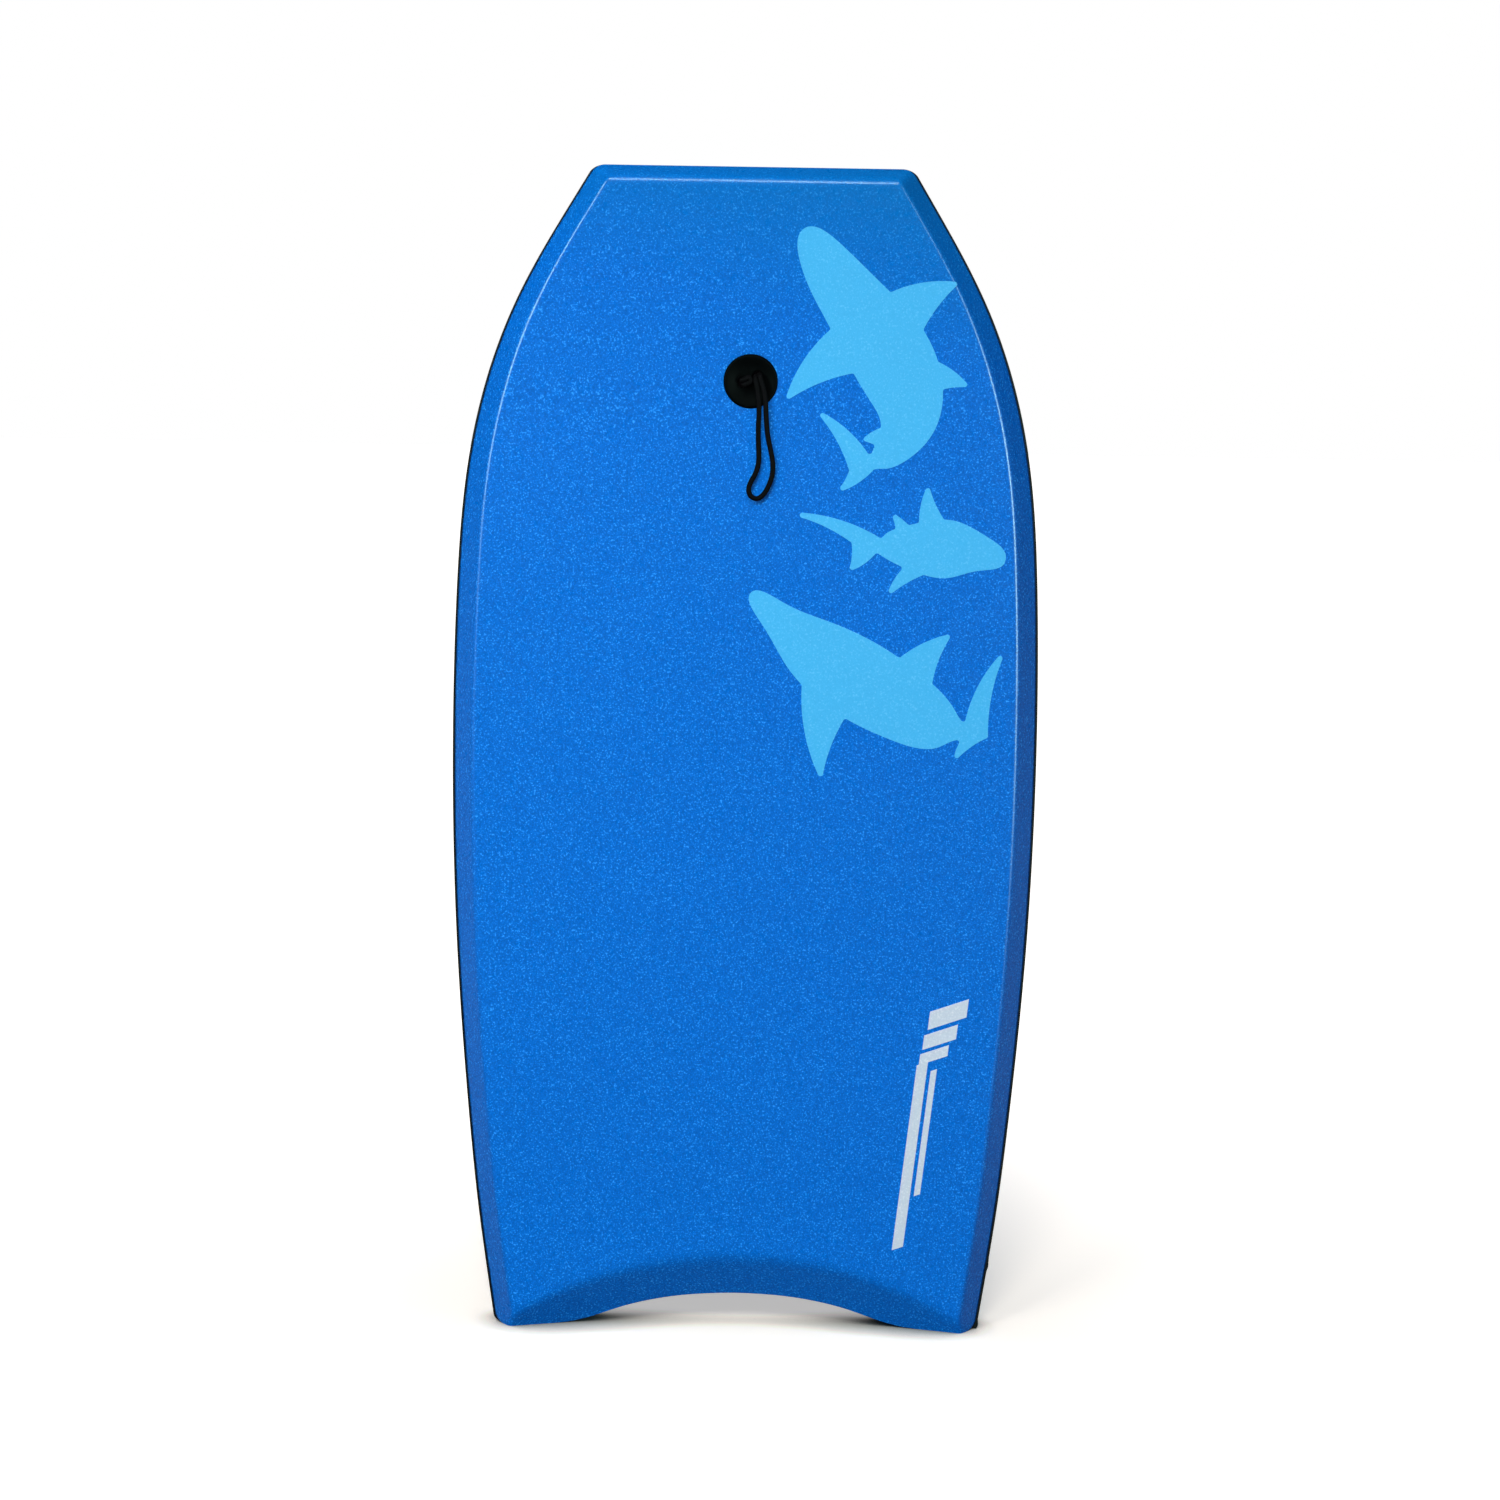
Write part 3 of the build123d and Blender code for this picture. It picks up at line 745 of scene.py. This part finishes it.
def strip_material():
    """Black foam of the side strips: finer, with faint lengthwise streaks."""
    nodes = Nodes("black_foam")
    grain = nodes.noise(800, detail=3)
    streaks = nodes.noise(40, detail=3, stretch=(9, 9, 0.6))
    scuff = nodes.ramp(nodes.noise(26, detail=5, rough=0.7), 0.56, 0.74)
    colour = nodes.mix(grain, (0.003, 0.0042, 0.0046), (0.009, 0.011, 0.012))
    colour = nodes.mix(nodes.math("MULTIPLY", scuff, 0.25), colour, (0.035, 0.038, 0.04))
    height = nodes.math("ADD", grain, nodes.math("MULTIPLY", streaks, 0.6))
    rough = nodes.ramp(streaks, 0.3, 0.7, 0.5, 0.66)
    return nodes.finish(colour, rough, nodes.bump(height, 0.3, 0.3 * MM), 0.015)


def slick_material():
    """Smooth plastic sheet: satin gloss, slight orange peel, fine hairline scratches along the board."""
    nodes = Nodes("slick_sheet")
    peel = nodes.noise(160, detail=2)
    swell = nodes.noise(14, detail=2)
    hairs = nodes.noise(60, detail=4, rough=0.75, stretch=(18, 1, 0.7))
    scratch = nodes.ramp(hairs, 0.60, 0.72)
    colour = nodes.mix(swell, (0.008, 0.0095, 0.011), (0.014, 0.016, 0.018))
    colour = nodes.mix(nodes.math("MULTIPLY", scratch, 0.3), colour, (0.06, 0.065, 0.07))
    height = nodes.math("ADD", nodes.math("MULTIPLY", peel, 0.35), nodes.math("MULTIPLY", swell, 1.6))
    rough = nodes.math("ADD", nodes.ramp(peel, 0.3, 0.7, 0.24, 0.32), nodes.math("MULTIPLY", scratch, 0.18))
    return nodes.finish(colour, rough, nodes.bump(height, 0.22, 0.6 * MM), 0.5)


def plastic_material(name, dark, light, specular):
    """Moulded plastic with a fine satin grain."""
    nodes = Nodes(name)
    grain = nodes.noise(1500, detail=2)
    blotch = nodes.noise(110, detail=3)
    colour = nodes.mix(blotch, dark, light)
    rough = nodes.ramp(blotch, 0.3, 0.7, 0.5, 0.62)
    return nodes.finish(colour, rough, nodes.bump(grain, 0.18, 0.12 * MM), specular)


def braid_material():
    """Black polyester braid: fine yarn fuzz on the plaits."""
    nodes = Nodes("black_braid")
    yarn = nodes.noise(2600, detail=2)
    dust = nodes.noise(300, detail=3)
    colour = nodes.mix(yarn, (0.0008, 0.0007, 0.0010), (0.004, 0.0034, 0.0044))
    colour = nodes.mix(nodes.ramp(dust, 0.5, 0.8, 0.0, 0.3), colour, (0.010, 0.009, 0.011))
    return nodes.finish(colour, nodes.ramp(dust, 0.3, 0.7, 0.6, 0.8), nodes.bump(yarn, 0.5, 0.15 * MM), 0.004)


def core_material():
    """Bead foam, seen only if the skins are taken off."""
    nodes = Nodes("bead_foam")
    beads = nodes.cells(330)
    colour = nodes.mix(nodes.ramp(beads, 0.1, 0.7), (0.86, 0.86, 0.84), (0.7, 0.7, 0.68))
    rough = nodes.ramp(beads, 0.0, 0.8, 0.7, 0.85)
    return nodes.finish(colour, rough, nodes.bump(nodes.math("SUBTRACT", 1.0, beads), 0.5, 0.8 * MM), 0.3)


def wear(piece, material):
    """Gives a piece its material."""
    piece.data.materials.clear()
    piece.data.materials.append(material)


def dress(node, material):
    """Gives a carried-over CAD node its material."""
    NODES[node].data.materials.clear()
    NODES[node].data.materials.append(material)


# ---- studio ----

def make_camera():
    """A long lens in front of the deck."""
    data = bpy.data.cameras.new("camera")
    data.lens = CAMERA_LENS
    data.sensor_width = 36
    camera = bpy.data.objects.new("camera", data)
    bpy.context.collection.objects.link(camera)
    elevation = radians(CAMERA_ELEVATION)
    back = Vector((0, -cos(elevation), sin(elevation)))
    camera.location = Vector(CAMERA_TARGET) + back * CAMERA_DISTANCE
    turn = (-back).to_track_quat("-Z", "Y").to_matrix() @ Matrix.Rotation(radians(CAMERA_ROLL), 3, "Z")
    camera.rotation_euler = turn.to_euler()
    bpy.context.scene.camera = camera


def make_world():
    """White to the camera; to the board a dim room with a bright ceiling."""
    world = bpy.data.worlds.new("studio")
    bpy.context.scene.world = world
    world.use_nodes = True
    tree = world.node_tree
    tree.nodes.clear()
    out = tree.nodes.new("ShaderNodeOutputWorld")
    seen = tree.nodes.new("ShaderNodeBackground")
    seen.inputs["Color"].default_value = (1, 1, 1, 1)
    lit = tree.nodes.new("ShaderNodeBackground")
    lit.inputs["Color"].default_value = (*ROOM_COLOUR, 1)
    height = tree.nodes.new("ShaderNodeSeparateXYZ")
    ramp = tree.nodes.new("ShaderNodeMapRange")
    ramp.inputs["From Min"].default_value, ramp.inputs["From Max"].default_value = CEILING_RISE
    ramp.inputs["To Min"].default_value = ROOM_LIGHT
    ramp.inputs["To Max"].default_value = CEILING_LIGHT
    place = tree.nodes.new("ShaderNodeTexCoord")
    path = tree.nodes.new("ShaderNodeLightPath")
    mix = tree.nodes.new("ShaderNodeMixShader")
    tree.links.new(place.outputs["Generated"], height.inputs[0])
    tree.links.new(height.outputs["Z"], ramp.inputs["Value"])
    tree.links.new(ramp.outputs["Result"], lit.inputs["Strength"])
    tree.links.new(path.outputs["Is Camera Ray"], mix.inputs[0])
    tree.links.new(lit.outputs[0], mix.inputs[1])
    tree.links.new(seen.outputs[0], mix.inputs[2])
    tree.links.new(mix.outputs[0], out.inputs["Surface"])


def aimed(data, azimuth, elevation, distance):
    """Places a light so that it faces the board's middle from the given direction."""
    light = bpy.data.objects.new(data.name, data)
    bpy.context.collection.objects.link(light)
    a, e = radians(azimuth), radians(elevation)
    back = Vector((sin(a) * cos(e), -cos(a) * cos(e), sin(e)))
    light.location = Vector(CAMERA_TARGET) + back * distance
    light.rotation_euler = back.to_track_quat("Z", "Y").to_euler()
    return light


def make_softbox(name, azimuth, elevation, distance, size, power, colour=(1, 1, 1), gloss_only=True):
    """A rectangular light that adds nothing but highlights or, if not gloss-only, everything but them."""
    data = bpy.data.lights.new(name, "AREA")
    data.shape = "RECTANGLE"
    data.size, data.size_y = size
    data.energy = power
    data.color = colour
    light = aimed(data, azimuth, elevation, distance)
    light.visible_diffuse = not gloss_only
    light.visible_glossy = gloss_only
    light.visible_camera = False


def make_far_light(name, azimuth, elevation, strength, width, matte_only=False):
    """Even light from far away, its width in degrees; a matte-only one has no highlights and no shadows."""
    data = bpy.data.lights.new(name, "SUN")
    data.energy = strength
    data.angle = radians(width)
    data.use_shadow = not matte_only
    aimed(data, azimuth, elevation, 4).visible_glossy = not matte_only


def make_floor():
    """Warm white paper that fades into the background, with a painted contact shadow where the board stands
    on it and a glow dimmed near the board as painted shade.
    """
    mesh = bpy.data.meshes.new("floor")
    mesh.from_pydata([(-8, -6, 0), (8, -6, 0), (8, 12, 0), (-8, 12, 0)], [], [(0, 1, 2, 3)])
    floor = bpy.data.objects.new("floor", mesh)
    bpy.context.collection.objects.link(floor)
    nodes = Nodes("floor_paper")
    grain = nodes.noise(60, detail=4)
    near = nodes.tree.nodes.new("ShaderNodeAmbientOcclusion")
    near.inputs["Distance"].default_value = CONTACT_REACH
    open_sky = nodes.ramp(near.outputs["AO"], *CONTACT_SHADE)
    paper = nodes.mix(grain, (0.88, 0.775, 0.66), (0.91, 0.80, 0.68))
    # painted contact shadow: a dark blue-black where the board shuts out the open sky
    colour = nodes.mix(open_sky, (0.01, 0.02, 0.04), paper)
    nodes.shader.inputs["Emission Color"].default_value = (1, 0.94, 0.89, 1)
    away = nodes.tree.nodes.new("ShaderNodeVectorMath")
    away.operation = "LENGTH"
    nodes.link(nodes.place, away.inputs[0])
    glow = nodes.ramp(away.outputs["Value"], *FLOOR_FADE, *FLOOR_GLOW)
    nodes.link(nodes.math("MULTIPLY", glow, open_sky), nodes.shader.inputs["Emission Strength"])
    rough = nodes.ramp(grain, 0, 1, 0.85, 0.95)
    mesh.materials.append(nodes.finish(colour, rough, nodes.bump(grain, 0.05, MM), 0.1))
    floor.visible_diffuse = False


def make_board():
    """The foam deck, the slick sheet and the strips round the edge."""
    # the third colour is that of the painted glints; the last is the painted shade at the nose
    blue = foam_material("blue_foam", (0.0003, 0.197, 0.79), (0.0001, 0.108, 0.47), (0.04, 0.44, 0.98),
                         nose_shade=(0.0004, 0.170, 0.46))
    black = strip_material()
    deck = plate("deck_foam", Layer(0, 0, 0, deck_depth), Layer(SKIN_SIDE, SKIN, SKIN, deck_depth))
    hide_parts("deck_skin")
    wear(deck, blue)
    lower = (THICKNESS - SLICK - CHINE_DEPTH) / (THICKNESS - CHINE_DEPTH)
    side, nose = RAIL_INSET * lower, NOSE_UNDERCUT * lower
    outer, inner = Layer(side, nose, 0, slick_depth), Layer(side, nose, 0, flat_depth(THICKNESS - SLICK))
    slick = plate("slick_sheet", outer, inner)
    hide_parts("slick_bottom")
    wear(slick, slick_material())
    names = ("rail_band_left", "rail_band_right", "tail_band", "nose_band")
    for piece, node in zip(side_bands(), names):
        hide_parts(node)
        wear(piece, black)


def make_prints():
    """The pale prints on the deck."""
    # the third colour of each is that of its painted glints
    light = foam_material("print_blue", (0.07, 0.51, 0.90), (0.06, 0.46, 0.84), (0.14, 0.60, 0.96), grain=0.7)
    pale = foam_material("print_white", (0.66, 0.76, 0.82), (0.58, 0.68, 0.76), (0.8, 0.86, 0.9), grain=0.7)
    for node in ("deck_print_high", "deck_print_middle", "deck_print_low"):
        dress(node, light)
    dress("deck_print_side", pale)


def make_fitting():
    """The plug with its string, and the core."""
    braid = braid_material()
    cap = plastic_material("cap_plastic", (0.0004, 0.0007, 0.0008), (0.0012, 0.0018, 0.002), 0.003)
    base = plastic_material("base_plastic", (0.008, 0.009, 0.01), (0.016, 0.018, 0.02), 0.4)
    dress("plug_cap", cap)
    dress("plug_base", base)
    for piece in make_string():
        wear(piece, braid)
    dress("string_knot", braid)
    dress("foam_core", core_material())


make_camera()
make_world()
make_far_light("key", -5, 40, 1.5, 16)
make_far_light("front", 0, 12, 0.75, 30, matte_only=True)
make_softbox("left", -30, 24, 1.6, (0.6, 0.6), 11, gloss_only=False)
make_softbox("left_gloss", -52, 20, 1.6, (0.3, 0.7), 240, (0.6, 1, 0.88))
make_softbox("right_gloss", 52, 7, 1.6, (0.3, 0.8), 300, (0.6, 1, 0.88))
make_softbox("nose_gloss", 0, 58, 1.6, (0.6, 0.3), 90, (0.75, 1, 0.85))
make_floor()
make_board()
make_prints()
make_fitting()
bpy.context.scene.view_settings.view_transform = "Standard"
